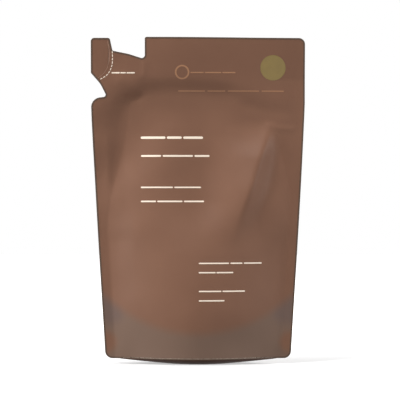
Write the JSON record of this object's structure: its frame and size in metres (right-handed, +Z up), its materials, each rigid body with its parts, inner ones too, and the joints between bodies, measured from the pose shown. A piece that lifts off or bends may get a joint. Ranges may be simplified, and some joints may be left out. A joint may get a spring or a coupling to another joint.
{
  "type": "hand soap refill pack",
  "caption": "Sealed stand-up refill pouch of film, filled with liquid soap, with a die-cut tear-off spout at its top left corner and a gusseted base.",
  "frame": {"origin": "on the floor, under the middle of the pouch", "axes": "+Z up along the height, +X to the right of someone facing the front panel, +Y from the front panel to the back panel"},
  "size_m": [0.11, 0.0414, 0.1677],
  "materials": {
    "film": "matt printed laminate film"
  },
  "bodies": {
    "root": {"pouch": "film"}
  },
  "joints": []
}
